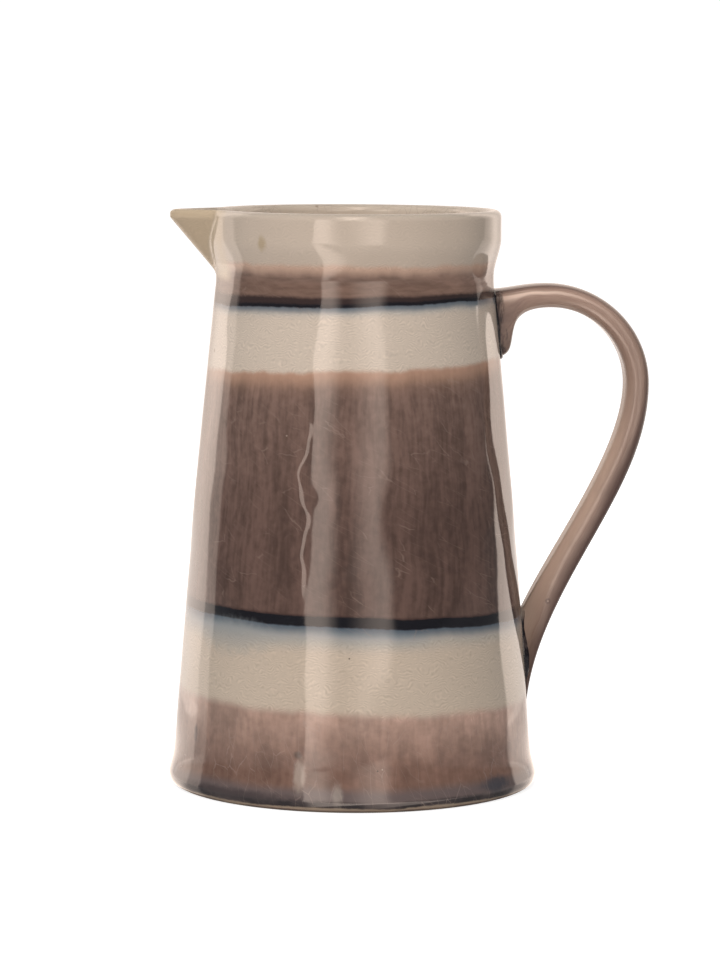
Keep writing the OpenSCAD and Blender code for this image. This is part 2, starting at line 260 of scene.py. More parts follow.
# bands of glaze from the foot up, with their material slots
bandSlots = {
    "foot_blue_line": "blue_glaze",
    "foot_brown_glaze": "light_brown_glaze",
    "lower_cream_glaze": "cream_glaze",
    "lower_blue_line": "blue_glaze",
    "wide_brown_glaze": "brown_glaze",
    "upper_cream_glaze": "cream_glaze",
    "upper_blue_line": "blue_glaze",
    "neck_brown_glaze": "light_brown_glaze",
}
bandNodes = list(bandSlots)
bandEdges = [low(node, axisZ) for node in bandNodes] + [high(bandNodes[-1], axisZ)]


# evenly spaced heights from one to the next, the last one left off
def steps(start, end, size):
    return np.linspace(start, end, max(2, math.ceil(abs(end - start) / size)), endpoint=False)


# one skin over the whole pot: rows run from the middle of the underside out and up the outside,
# over the lip, down the inside and in to the middle of the floor
def potSkin():
    angle = columnAngles()[None, :]
    count = pot["rows"]
    rows = {}

    # underside: flat, with faint turning rings away from the edge
    underEdge = potRadius(np.array(0.0))
    ring = np.linspace(pot["underHole"], underEdge, count["under"])[:, None]
    deep, pitch = pot["underRings"]
    ends, fading = pot["underFade"]
    groove = deep * (1 - np.cos(2 * np.pi * ring / pitch)) * ease((underEdge - ends - ring) / fading)
    under = (ring + 0 * angle, groove + 0 * angle)

    # bare round edge, as a share of its quarter circle
    turn = np.linspace(0, 1, count["edge"])[1:, None]
    stop = math.acos(1 - pot["bareEdge"] / pot["edgeRound"])
    edgeZ = pot["edgeRound"] * (1 - np.cos(turn * stop))[:-1] + 0 * angle
    edge = (potRadius(edgeZ), edgeZ)

    # glazed outside up to the collar
    heights = []
    rows["collar"] = len(under[0]) + len(edgeZ)
    for node, start, end in zip(bandNodes, bandEdges, bandEdges[1:]):
        heights.append(steps(start, end, pot["rowStep"] if heights else pot["firstStep"]))
        rows[node] = rows["collar"]
        rows["collar"] += len(heights[-1])
    outsideZ = joined(*heights)[:, None] + 0 * angle

    # collar and beak up to the lip
    off = angle - math.radians(beak["bearing"])
    lipHigh = pot["wall"] / 2 + (beak["lip"] - pot["wall"] / 2) * ease(1.5 - np.abs(off) / beak["lipAngle"])
    lipFoot = pot["rim"] - lipHigh
    share = np.linspace(0, 1, count["collar"])[:, None]
    collarZ = bandEdges[-1] + (lipFoot - bandEdges[-1]) * share
    outsideZ = joined(outsideZ, collarZ[:-1])

    def outside(z):
        turned = angle + 0 * z
        surface = potRadius(z) + handWave(turned, z) + runRelief(turned, z)
        return filletMax(surface, beakRadius(angle, z, 0, beak["tipRound"]), beak["fillet"])

    def inside(z):
        weaker, turned = throwing["inside"]
        surface = potRadius(z) - pot["wall"] + weaker * handWave(angle + turned + 0 * z, z)
        channel = beakRadius(angle, z, beak["thick"], beak["channelRound"])
        return filletMax(surface, channel, beak["channelFillet"])

    outer = (outside(outsideZ), outsideZ)

    # lip: half an ellipse from the outside to the inside
    around = np.linspace(0, np.pi, count["lip"])[:, None]
    outerTop, innerTop = outside(lipFoot), inside(lipFoot)
    lip = (
        (outerTop + innerTop) / 2 + (outerTop - innerTop) / 2 * np.cos(around),
        lipFoot + lipHigh * np.sin(around),
    )

    # inside wall, round corner and floor
    cornerTop = pot["floor"] + pot["floorRound"]
    nearLip = np.linspace(0, pot["nearLip"], count["lipInside"])
    depth = joined(nearLip, np.linspace(pot["nearLip"], 1, count["inside"])[1:])[1:, None]
    insideZ = lipFoot + (cornerTop - lipFoot) * depth
    inner = (inside(insideZ), insideZ)
    bend = np.linspace(0, np.pi / 2, count["corner"])[1:, None]
    cornerR = inside(cornerTop + 0 * angle) - pot["floorRound"]
    cornerZ = cornerTop - pot["floorRound"] * np.sin(bend) + 0 * angle
    corner = (cornerR + pot["floorRound"] * np.cos(bend), cornerZ)
    inward = np.linspace(1, pot["floorHole"], count["floor"])[1:, None]
    rings = pot["floorRise"] * np.sin(inward * pot["floorRings"]) * (1 - inward)
    floor = (cornerR * inward, pot["floor"] + pot["floorRise"] * (1 - inward) + rings + 0 * angle)

    stretches = (under, edge, outer, lip, inner, corner, floor)
    radius, height = (joined(*grids) for grids in zip(*stretches))
    rows["lip"] = rows["collar"] + len(collarZ) - 1
    rows["crest"] = rows["lip"] + len(around) // 2
    rows["inside"] = rows["lip"] + len(around)
    return onPot(radius, angle, height), rows


# vectors brought to length 1
def unit(vectors):
    return vectors / np.linalg.norm(vectors, axis=-1, keepdims=True)


# normals of a grid that closes on itself along its columns: the cross product of the two tangents
def gridNormals(points):
    around = np.roll(points, -1, axis=1) - np.roll(points, 1, axis=1)
    return unit(np.cross(around, np.gradient(points, axis=0)))


# a mesh from a grid of points whose columns close on themselves. closed also joins the last row to the
# first one, a pole is a single point that closes the first or the last row with a fan, and rowShare says how
# far up the UV map each row lies
def gridPiece(name, points, normals=None, closed=False, startPole=None, endPole=None, rowShare=None):
    rowCount, columnCount = points.shape[:2]
    number = np.arange(rowCount * columnCount).reshape(rowCount, columnCount)
    vertices = points.reshape(-1, 3)
    share = np.linspace(0, 1, rowCount + 1) if rowShare is None else rowShare
    first = number if closed else number[:-1]
    second = np.roll(number, -1, axis=0) if closed else number[1:]
    quads = np.stack([first, np.roll(first, -1, 1), np.roll(second, -1, 1), second], axis=-1)
    column = np.arange(columnCount) / columnCount
    nextColumn = (np.arange(columnCount) + 1) / columnCount
    u = np.stack([column, nextColumn, nextColumn, column], axis=-1)
    v = np.stack([share[:-1], share[:-1], share[1:], share[1:]], axis=-1)[: len(first)]
    uv = np.stack(np.broadcast_arrays(u[None, :, :], v[:, None, :]), axis=-1)
    faces = quads.reshape(-1, 4).tolist()
    corners = [uv.reshape(-1, 2)]
    for pole, row, toTip in ((startPole, 0, -0.02), (endPole, rowCount - 1, 0.02)):
        if pole is None:
            continue
        tip = np.full(columnCount, len(vertices))
        vertices = joined(vertices, [pole])
        order = [0, 2, 1] if row == 0 else [0, 1, 2]  # fans of both ends face outwards
        fan = np.stack([tip, number[row], np.roll(number[row], -1)], axis=-1)[:, order]
        fanU = np.stack([(column + nextColumn) / 2, column, nextColumn], axis=-1)[:, order]
        fanV = np.broadcast_to([share[row] + toTip, share[row], share[row]], fanU.shape)
        faces += fan.tolist()
        corners.append(np.stack([fanU, fanV], axis=-1).reshape(-1, 2))
    mesh = bpy.data.meshes.new(name)
    mesh.from_pydata((vertices * mm).tolist(), [], faces)
    mesh.polygons.foreach_set("use_smooth", np.ones(len(faces), bool))
    layer = mesh.uv_layers.new(name="OFBake")
    layer.uv.foreach_set("vector", joined(*corners).astype(np.float32).ravel())
    if normals is not None:
        smooth = normals.reshape(-1, 3)
        for pole, row in ((startPole, 0), (endPole, -1)):
            if pole is not None:
                smooth = joined(smooth, [normals[row].mean(0)])
        mesh.normals_split_custom_set_from_vertices(smooth.tolist())
    return addObject(name, mesh)


# a shell of the skin between two rows: the outer rows, then some of them again under the coat
def shellPiece(name, firstRow, lastRow):
    rows = np.arange(firstRow, lastRow + 1)
    thinned = np.unique(joined(rows[:: pot["hiddenStep"]], rows[-1:]))[::-1]
    points = joined(skin[rows], skin[thinned] - coat * skinNormals[thinned])
    normals = joined(skinNormals[rows], -skinNormals[thinned])
    share = joined(np.linspace(0, 0.84, len(rows)), np.linspace(0.86, 1, len(thinned) + 1))
    return gridPiece(name, points, normals, closed=True, rowShare=share)


def giveMaterial(piece, material):
    piece.data.materials.clear()
    piece.data.materials.append(material)


# says what a piece rides on, stands for and is made of
def place(piece, material, slot, *nodes):
    giveMaterial(piece, material)
    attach(piece, "root")
    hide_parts(*nodes)


# Shader building blocks. Each puts its node into the tree of the sockets that feed it

def feed(value, socket):
    if isinstance(value, bpy.types.NodeSocket):
        socket.id_data.links.new(value, socket)
    elif socket.type == "RGBA":
        socket.default_value = (*value, 1)
    else:
        socket.default_value = value


def addNode(tree, kind, **settings):
    node = tree.nodes.new("ShaderNode" + kind)
    for key in settings:
        setattr(node, key, settings[key])
    return node


# one output of a new node, whose inputs, by name or number, are sockets or plain values
def wired(kind, inputs, output=0, **settings):
    tree = next(v for v in inputs.values() if isinstance(v, bpy.types.NodeSocket)).id_data
    node = addNode(tree, kind, **settings)
    for key in inputs:
        feed(inputs[key], node.inputs[key])
    return node.outputs[output]


def calc(operation, a, b=0.0):
    return wired("Math", {0: a, 1: b}, operation=operation)


def times(a, b):
    return calc("MULTIPLY", a, b)


def plus(a, b):
    return calc("ADD", a, b)


def minus(a, b):
    return calc("SUBTRACT", a, b)


def vectorCalc(operation, a, b=(0, 0, 0), output=0):
    return wired("VectorMath", {0: a, 1: b}, output, operation=operation)


def stretched(vector, *factors):
    return vectorCalc("MULTIPLY", vector, factors)


def parts(vector):
    return wired("SeparateXYZ", {0: vector}).node.outputs


# smooth step from first, where the value is at start, to last, where it is at end
def fade(value, start, end, first=0.0, last=1.0):
    (fromMin, toMin), (fromMax, toMax) = sorted([(start, first), (end, last)])
    inputs = {"Value": value, "From Min": fromMin, "From Max": fromMax, "To Min": toMin, "To Max": toMax}
    return wired("MapRange", inputs, interpolation_type="SMOOTHSTEP")


# spreads a value from 0 to 1 over a new stretch
def remapped(value, first, last):
    return wired("MapRange", {"Value": value, "To Min": first, "To Max": last})


def blend(amount, base, top, mode="MIX"):
    return wired("Mix", {0: amount, 6: base, 7: top}, 2, data_type="RGBA", blend_type=mode)


# a paint laid over a colour where a mask is 1
def over(colour, paint, mask, strength):
    return blend(times(mask, strength), colour, paint)


# a colour made lighter or darker by a factor
def shaded(colour, factor):
    grey = wired("CombineColor", {0: factor, 1: factor, 2: factor})
    return blend(1.0, colour, grey, "MULTIPLY")


# the same by a mask, from a factor where it is 0 to one where it is 1
def varied(colour, mask, first, last):
    return shaded(colour, remapped(mask, first, last))


def noise(spot, scale, detail=2.0, roughness=0.5, output=0):
    inputs = {"Vector": spot, "Scale": scale, "Detail": detail, "Roughness": roughness}
    return wired("TexNoise", inputs, output)


# two colours in clouds
def clouded(spot, scale, detail, start, end, deep, pale):
    return blend(fade(noise(spot, scale, detail), start, end), deep, pale)


def newMaterial(name):
    material = bpy.data.materials.new(name)
    material.use_nodes = True
    tree = material.node_tree
    shader = next(n for n in tree.nodes if n.type == "BSDF_PRINCIPLED")
    return material, shader.inputs, addNode(tree, "TexCoord").outputs["Object"]


# colour, roughness and relief of a material, the relief as a bump of a strength and a depth in metres
def dress(shader, colour, roughness, height, strength, depth=0.0004):
    feed(colour, shader["Base Color"])
    feed(roughness, shader["Roughness"])
    bump = wired("Bump", {"Strength": strength, "Distance": depth, "Height": height})
    feed(bump, shader["Normal"])


# a group that reads a place and some numbers, with one value as its result
def newGroup(name, numbers, result):
    tree = bpy.data.node_groups.new(name, "ShaderNodeTree")
    tree.interface.new_socket(name="Place", in_out="INPUT", socket_type="NodeSocketVector")
    for key in numbers:
        socket = tree.interface.new_socket(name=key, in_out="INPUT", socket_type="NodeSocketFloat")
        socket.default_value = numbers[key]
    tree.interface.new_socket(name=result, in_out="OUTPUT", socket_type="NodeSocketFloat")
    return tree, tree.nodes.new("NodeGroupInput").outputs, tree.nodes.new("NodeGroupOutput").inputs[0]


def useGroup(group, **values):
    return wired("Group", values, node_tree=group)


# fired crackle: the edges of bent cells, broken up by a slow noise. Lean winds the cells around the pot
# as they climb, in radians for each metre, and Stretch below 1 draws them out upwards
def crackleGroup():
    numbers = {"Cells": 300.0, "Width": 0.06, "Broken": 0.5, "Lean": 0.0, "Stretch": 1.0, "Bend": 0.004}
    tree, given, result = newGroup("crackle", numbers, "Mask")
    spot = given["Place"]
    angle = times(parts(spot)[2], given["Lean"])
    wound = parts(wired("VectorRotate", {"Vector": spot, "Angle": angle}, rotation_type="Z_AXIS"))
    drawn = wired("CombineXYZ", {0: wound[0], 1: wound[1], 2: times(wound[2], given["Stretch"])})
    bent = noise(spot, 160.0, output="Color")
    shift = wired("VectorMath", {0: bent, "Scale": given["Bend"]}, operation="SCALE")
    inputs = {"Vector": vectorCalc("ADD", drawn, shift), "Scale": given["Cells"]}
    distance = wired("TexVoronoi", inputs, "Distance", feature="DISTANCE_TO_EDGE")
    line = fade(calc("DIVIDE", distance, given["Width"]), 1.0, 0.0)
    left = minus(plus(noise(spot, 90.0), 0.5), given["Broken"])
    feed(times(line, fade(left, 0.42, 0.62)), result)
    return tree


# brushed or run glaze: noise of two sizes, drawn out along one axis of the place that it is given
def streakGroup():
    tree, given, result = newGroup("streaks", {"Fine": 1.0, "Broad": 0.3}, "Value")
    fine = noise(given["Place"], given["Fine"])
    broad = noise(given["Place"], given["Broad"], 3.0)
    feed(plus(times(fine, 0.45), times(broad, 0.55)), result)
    return tree


# scattered dots: cells whose middle is near, kept where the cell's own random value is high
def speckGroup():
    tree, given, result = newGroup("specks", {"Cells": 100.0, "Size": 0.2, "Few": 0.8}, "Mask")
    inputs = {"Vector": given["Place"], "Scale": given["Cells"]}
    distance = wired("TexVoronoi", inputs, "Distance", feature="F1")
    dot = fade(calc("DIVIDE", distance, given["Size"]), 1.0, 0.5)
    own = wired("SeparateColor", {0: distance.node.outputs["Color"]})
    feed(times(dot, calc("GREATER_THAN", own, given["Few"])), result)
    return tree


# lines like a fingerprint: a sine of the height, which a slow noise bends. Pitch is in radians for each metre
def whorlGroup():
    tree, given, result = newGroup("whorls", {"Slow": 30.0, "Bend": 40.0, "Pitch": 4300.0}, "Value")
    contour = noise(given["Place"], given["Slow"], 1.5)
    climb = times(parts(given["Place"])[2], given["Pitch"])
    wave = calc("SINE", plus(climb, times(contour, given["Bend"])))
    feed(plus(times(wave, 0.5), 0.5), result)
    return tree


crackle = crackleGroup()
whorls = whorlGroup()
streaks = streakGroup()
specks = speckGroup()
print("shader groups made")


# dots of a paint scattered over a colour
def specked(colour, paint, spot, cells, size, few, strength):
    return over(colour, paint, useGroup(specks, Place=spot, Cells=cells, Size=size, Few=few), strength)


# Glaze of the outside, painted in bands that follow the frame's own edges

bandPaint = {
    "clay": (0.42, 0.33, 0.25),
    "footDark": (0.030, 0.025, 0.027),
    "footMauve": (0.140, 0.110, 0.107),
    "footLow": (0.194, 0.116, 0.090),
    "footHigh": (0.418, 0.285, 0.230),
    "lowerCream": (0.545, 0.465, 0.378),
    "hazeNear": (0.088, 0.117, 0.150),
    "haze": (0.228, 0.283, 0.318),
    "line": (0.010, 0.010, 0.014),
    "lineEdge": (0.060, 0.036, 0.031),
    "neckEdge": (0.040, 0.026, 0.025),
    "wideLow": (0.115, 0.072, 0.060),
    "wideHigh": (0.182, 0.119, 0.098),
    "fringe": (0.45, 0.280, 0.200),
    "upperCream": (0.588, 0.513, 0.434),
    "neck": (0.187, 0.120, 0.094),
    "neckPink": (0.52, 0.362, 0.278),
    "collarCream": (0.533, 0.457, 0.382),
    "spoutTan": (0.545, 0.440, 0.308),
    "crackleBrown": (0.34, 0.25, 0.21),
    "crackleFoot": (0.42, 0.32, 0.28),
    "wander": 1.3,  # slow rise and fall of the edges
    "ragged": 0.4,
    "feather": 1.6,  # how far the brush draws out the soft edges
    "lowerTilt": -2.3,  # how far the lower line, the wide band's top and the upper line rise to the handle
    "wideTilt": 2.4,
    "upperTilt": 1.5,
    "footBlend": (30.0, 32.0),  # height and softness of the change from the low tone to the high one
    "wideBlend": (150.0, 76.0),
    "footHairTop": (60.0, 10.0),  # the same where the hairlines of the foot end
}

# small marks: angle from the front and height of the middle, width, height, strength and colour
marks = (
    (-43.5, 240.0, 5.5, 7.5, 0.55, (0.36, 0.27, 0.14)),
    (-6.5, 65.7, 1.0, 0.8, 0.9, (0.05, 0.04, 0.035)),
    (-30.5, 159.0, 0.9, 0.7, 0.8, (0.42, 0.33, 0.27)),
    (-46.0, 5.2, 80.0, 5.5, 0.6, (0.030, 0.026, 0.030)),
    (-22.8, 24.0, 4.4, 3.4, 0.6, (0.075, 0.060, 0.055)),
    (-22.0, 15.0, 6.0, 19.0, 0.55, (0.50, 0.43, 0.375)),
    (-9.8, 8.5, 5.0, 12.0, 0.5, (0.40, 0.355, 0.315)),
    (-50.0, 72.0, 44.0, 17.0, 0.42, (0.27, 0.30, 0.31)),
    (-66.5, 27.0, 3.5, 10.0, 0.5, (0.07, 0.07, 0.075)),
    (45.0, 8.0, 20.0, 8.0, 0.75, (0.050, 0.056, 0.072)),
    (2.5, 18.0, 0.9, 0.9, 0.9, (0.05, 0.035, 0.03)),
    (4.0, 18.6, 0.8, 0.8, 0.7, (0.5, 0.42, 0.36)),
    (-78.0, 192.0, 2.2, 1.8, 0.5, (0.2, 0.14, 0.10)),
)


def bandGlaze():
    material, shader, coords = newMaterial("bandGlaze")
    paint = bandPaint
    heading = vectorCalc("NORMALIZE", stretched(coords, 1, 1, 0))
    side = parts(heading)[0]
    # vertical brush streaks: the heading and a little of the height, bent by a slow noise
    around = vectorCalc("ADD", stretched(heading, 0.07, 0.07, 0), stretched(coords, 0, 0, 1))
    sway = stretched(noise(around, 35.0, output="Color"), 0.006, 0.006, 0.006)
    drawn = stretched(vectorCalc("ADD", around, sway), 1, 1, 0.13)
    streak = useGroup(streaks, Place=drawn, Fine=430.0, Broad=90.0)
    grain = noise(around, 300.0, 3.0)
    cloud = fade(noise(around, 24.0, 3.0), 0.3, 0.7)
    blotch = noise(around, 70.0, 3.0)
    # the wide band is brushed upwards, the neck around and the foot is mottled
    brushed = fade(plus(times(streak, 0.75), times(grain, 0.25)), 0.34, 0.66)
    mottled = plus(times(streak, 0.3), times(grain, 0.2))
    mottled = fade(plus(mottled, times(blotch, 0.5)), 0.34, 0.66)
    ringed = fade(noise(stretched(around, 1, 1, 6), 75.0, 4.0, 0.6), 0.32, 0.68)

    # edges of the bands rise and fall a little, and their fine line is ragged
    slow = minus(noise(around, 28.0), 0.5)
    quick = minus(noise(around, 330.0, 3.0), 0.5)
    wobble = plus(times(slow, paint["wander"] * 2 * mm), times(quick, paint["ragged"] * 2 * mm))
    level = plus(parts(coords)[2], wobble)
    feather = times(minus(noise(drawn, 85.0, 3.0), 0.5), paint["feather"] * 2 * mm)
    feathered = plus(level, feather)

    # mask above an edge that rises to the handle by its tilt, drawn out by the brush where it is soft
    def above(height, soft, tilt=0.0, brush=False, strength=1.0):
        leaned = minus(feathered if brush else level, times(side, tilt * mm))
        return times(fade(leaned, (height - soft / 2) * mm, (height + soft / 2) * mm), strength)

    footDark = blend(fade(blotch, 0.36, 0.58, 0.5, 1.0), paint["footMauve"], paint["footDark"])
    footBrown = blend(above(*paint["footBlend"]), paint["footLow"], paint["footHigh"])
    footBrown = varied(varied(footBrown, mottled, 0.81, 1.19), brushed, 0.9, 1.1)
    # painted light and shade: the foot band is made darker on the left and lighter on the right
    footBrown = shaded(footBrown, fade(side, -0.8, 0.7, 0.92, 1.12))
    upper = above(*paint["wideBlend"], paint["wideTilt"], True)
    wide = blend(upper, paint["wideLow"], paint["wideHigh"])
    wide = varied(varied(wide, brushed, 0.67, 1.33), cloud, 0.93, 1.07)
    # painted shade: the wide band is made darker towards the right
    wide = shaded(wide, fade(side, -0.1, 0.6, 1.0, 0.92))
    fringe = varied(paint["fringe"], mottled, 0.9, 1.1)
    neck = varied(paint["neck"], ringed, 0.84, 1.16)
    # painted light: the neck is made lighter towards the handle side
    neck = shaded(neck, fade(side, 0.25, 0.8, 0.96, 1.4))

    footLine, creamFoot, lowerLine, wideFoot, wideTop, upperLine, neckFoot, neckTop = bandEdges[1:]
    lowerTilt, wideTilt, upperTilt = paint["lowerTilt"], paint["wideTilt"], paint["upperTilt"]
    hazeLow, hazeHigh = remapped(cloud, 0.6, 1.0), remapped(cloud, 0.4, 0.85)

    # coats from the foot up: paint, then what above() takes
    coats = (
        (footDark, 2.2, 1.0),
        (paint["footMauve"], footLine - 2.2, 2.0),
        (footBrown, footLine + 2.8, 5.0),
        (paint["lowerCream"], creamFoot + 0.1, 5.0, -2.1, True),
        (paint["haze"], lowerLine - 6.2, 12.0, -0.7, False, hazeLow),
        (paint["hazeNear"], lowerLine - 2.5, 5.0, lowerTilt, False, 0.95),
        (paint["line"], lowerLine - 0.1, 1.0, lowerTilt),
        (paint["lineEdge"], wideFoot + 0.3, 0.9, lowerTilt),
        (wide, wideFoot + 0.9, 1.6, lowerTilt),
        (fringe, wideTop - 7.5, 12.0, wideTilt, True, 0.27),
        (fringe, wideTop - 3.5, 8.0, wideTilt, True, 0.9),
        (paint["upperCream"], wideTop + 0.7, 3.0, wideTilt, True),
        (paint["haze"], upperLine - 1.9, 6.0, upperTilt, False, hazeHigh),
        (paint["hazeNear"], upperLine - 0.9, 3.2, upperTilt, False, 0.8),
        (paint["line"], upperLine + 0.9, 0.9, upperTilt),
        (paint["neckEdge"], neckFoot - 1.0, 1.6, upperTilt),
        (neck, neckFoot + 1.6, 2.0, 0.7),
        (paint["neckPink"], neckTop - 2.3, 5.0, 0.0, True),
        (paint["collarCream"], neckTop + 1.0, 3.0, 0.0, True),
    )
    colour = paint["clay"]
    for top, *edge in coats:
        colour = blend(above(*edge), colour, top)
    # painted shade: the spout's side face is tinted tan, the colour it takes in shade
    onSpout = times(fade(side, -0.90, -0.955), above(beak["keelFoot"] - 2.0, 4.0))
    colour = over(colour, paint["spoutTan"], onSpout, 0.9)

    # slow clouding of the whole coat
    colour = varied(colour, noise(around, 14.0, 4.0), 0.93, 1.07)

    # crackle: fine whorls in the cream, fainter on the collar, and pale hairlines in the brown
    tone = wired("RGBToBW", {0: colour})
    pale = fade(tone, 0.31, 0.42)
    fine = minus(useGroup(whorls, Place=around, Slow=150.0, Bend=46.0, Pitch=4600.0), 0.5)
    fine = times(fine, fade(noise(around, 520.0), 0.42, 0.60))
    fine = plus(fine, times(minus(noise(around, 900.0), 0.5), 0.8))
    fineLines = times(fine, times(pale, remapped(above(neckTop + 2.0, 6.0), 1.0, 0.4)))
    colour = shaded(colour, plus(times(fineLines, 0.22), 1.0))
    hair = {"Cells": 120.0, "Width": 0.018, "Broken": 0.5, "Lean": 24.0, "Stretch": 0.5, "Bend": 0.0015}
    footHair = {"Cells": 190.0, "Width": 0.016, "Broken": 0.44, "Lean": 3.0, "Stretch": 0.2, "Bend": 0.001}
    brown = times(minus(1.0, pale), fade(tone, 0.025, 0.05))
    lowBrown = times(brown, minus(1.0, above(*paint["footHairTop"])))
    hairs = times(useGroup(crackle, Place=around, **hair), brown)
    colour = over(colour, paint["crackleBrown"], hairs, 0.27)
    footHairs = times(useGroup(crackle, Place=around, **footHair), lowBrown)
    colour = over(colour, paint["crackleFoot"], footHairs, 0.3)

    # marks placed one by one from the list
    for angle, z, across, tall, strength, top in marks:
        turn = math.radians(angle)
        reach = float(potRadius(np.array(z)))
        middle = (reach * mm * math.sin(turn), -reach * mm * math.cos(turn), z * mm)
        away = vectorCalc("SUBTRACT", coords, middle)
        away = stretched(away, 2 / across / mm, 2 / across / mm, 2 / tall / mm)
        distance = plus(vectorCalc("LENGTH", away, output=1), times(quick, 0.8))
        colour = over(colour, top, fade(distance, 1.25, 0.35), strength)

    # glass-like surface, with the crackle and a faint orange peel in relief
    relief = minus(times(noise(coords, 210.0, 1.0), 0.5), times(fineLines, 0.1))
    dress(shader, colour, remapped(noise(coords, 60.0), 0.05, 0.10), relief, 0.10)
    return material


linerPaint = {
    "cream": (0.66, 0.57, 0.475),
    "deep": (0.59, 0.50, 0.41),
    "crackle": (0.28, 0.20, 0.145),
}


def linerGlaze():
    material, shader, coords = newMaterial("linerGlaze")
    paint = linerPaint
    colour = clouded(coords, 30.0, 3.0, 0.3, 0.7, paint["deep"], paint["cream"])
    lines = useGroup(crackle, Place=coords, Cells=310.0, Width=0.075, Broken=0.45)
    colour = over(colour, paint["crackle"], lines, 0.3)
    colour = specked(colour, paint["crackle"], coords, 95.0, 0.09, 0.86, 0.6)
    dress(shader, colour, remapped(noise(coords, 60.0), 0.06, 0.13), noise(coords, 180.0), 0.12)
    return material


handlePaint = {
    "mauve": (0.395, 0.280, 0.226),
    "deep": (0.335, 0.230, 0.186),
    # painted light: a paler inner side of the strap, lower down
    "inside": (0.56, 0.41, 0.325),
    "ridge": (0.78, 0.60, 0.50),  # painted highlight along the ridge near the upper joint
    # painted shade: a dark outer side of the strap, lower down
    "outside": (0.095, 0.055, 0.046),
    "root": (0.13, 0.088, 0.078),
    "mark": (0.10, 0.06, 0.05),
    "slip": (0.035, 0.026, 0.026),
    "pit": (0.52, 0.40, 0.34),  # a burst bubble
    "pitPlace": (85.5, -9.5, 80.5),
    "pitSize": 1.7,
}


# pulled glaze of the strap: streaks follow its length, kept in the attribute strapPlace in tenths of a metre,
# and slip stains it where it is near the wall, kept in wallGap
def handleGlaze():
    material, shader, coords = newMaterial("handleGlaze")
    paint = handlePaint
    tree = material.node_tree
    strapSpot = addNode(tree, "Attribute", attribute_name="strapPlace").outputs["Vector"]
    gap = addNode(tree, "Attribute", attribute_name="wallGap").outputs["Fac"]
    facing = parts(strapSpot)[0]
    length = facing.node.outputs[2]
    brushed = useGroup(streaks, Place=stretched(strapSpot, 1, 1, 1.6), Fine=13.0, Broad=3.6)
    colour = blend(fade(brushed, 0.34, 0.68), paint["deep"], paint["mauve"])
    # painted light and shade: the strap is made lighter near the upper joint and darker further down
    colour = shaded(colour, fade(length, 0.3, 1.0, 1.15, 0.81))
    facing = plus(facing, times(noise(coords, 60.0), 0.3))
    down = fade(length, 0.75, 1.4)
    rootEnd = fade(plus(length, times(brushed, 0.2)), 0.36, 0.12)
    # painted shade on the outer side of the strap, lower down
    outside = fade(plus(facing, times(down, 0.75)), 0.45, 1.0)
    outside = times(outside, remapped(down, 0.55, 0.97))
    # painted highlight: a pale line along the ridge, near the upper joint
    ridgeHighlight = fade(calc("ABSOLUTE", minus(facing, 0.24)), 0.2, 0.06)
    runs = times(noise(stretched(coords, 1, 1, 0.3), 330.0, 4.0, 0.65), 15.0)
    toPit = vectorCalc("DISTANCE", coords, tuple(v * mm for v in paint["pitPlace"]), 1)
    toPit = plus(toPit, times(noise(coords, 700.0), 0.6 * mm))
    size = paint["pitSize"] * mm
    # inside is painted light and outside painted shade, both lower down the strap, and ridge a painted
    # highlight
    coats = (
        ("root", times(rootEnd, fade(facing, 0.2, -0.1)), 0.7),
        ("inside", times(fade(facing, 0.0, -0.75), remapped(down, 0.1, 0.9)), 1.0),
        ("outside", outside, 1.0),
        ("ridge", times(ridgeHighlight, fade(length, 0.55, 0.2)), 0.8),
        ("slip", times(fade(minus(gap, runs), -4.2, -7.5), fade(length, 1.6, 1.2)), 0.8),
        ("mark", fade(toPit, size * 1.2, size * 0.7), 0.6),
        ("pit", fade(toPit, size * 0.6, size * 0.3), 1.0),
    )
    for name, mask, strength in coats:
        colour = over(colour, paint[name], mask, strength)
    colour = specked(colour, paint["mark"], coords, 130.0, 0.10, 0.88, 0.6)
    worn = times(times(outside, down), 0.35)
    roughness = plus(remapped(noise(coords, 80.0), 0.06, 0.11), worn)
    roughness = plus(roughness, fade(length, 0.35, 0.9, 0.0, 0.13))
    dress(shader, colour, roughness, brushed, 0.1)
    return material


seamPaint = {
    "slip": (0.012, 0.011, 0.015),
    "thin": (0.085, 0.065, 0.062),
    "speck": (0.45, 0.38, 0.33),
    "crotch": (0.26, 0.205, 0.17),  # the slip is thin around the top of the lower joint
    "crotchFrom": (-9.0, -4.0),
    "crotchTo": (30.0, 20.0),
}


def seamSlip():
    material, shader, coords = newMaterial("seamSlip")
    paint = seamPaint
    colour = clouded(coords, 240.0, 3.0, 0.48, 0.72, paint["slip"], paint["thin"])
    colour = specked(colour, paint["speck"], coords, 260.0, 0.22, 0.86, 0.7)
    crotch = high("lower_handle_slip", axisZ)
    level = parts(coords)[2]
    thinned = fade(level, *((crotch + d) * mm for d in paint["crotchFrom"]))
    thinned = times(thinned, fade(level, *((crotch + d) * mm for d in paint["crotchTo"])))
    colour = blend(thinned, colour, paint["crotch"])
    dress(shader, colour, remapped(noise(coords, 300.0), 0.05, 0.18), noise(coords, 420.0), 0.3)
    return material


clayPaint = {
    "body": (0.50, 0.40, 0.285),
    "deep": (0.40, 0.305, 0.205),
    "grog": (0.22, 0.15, 0.095),
    "stain": (0.17, 0.125, 0.105),  # on the edge under the foot
    "stainReach": (-5.5, -2.0),  # from the foot's radius
}


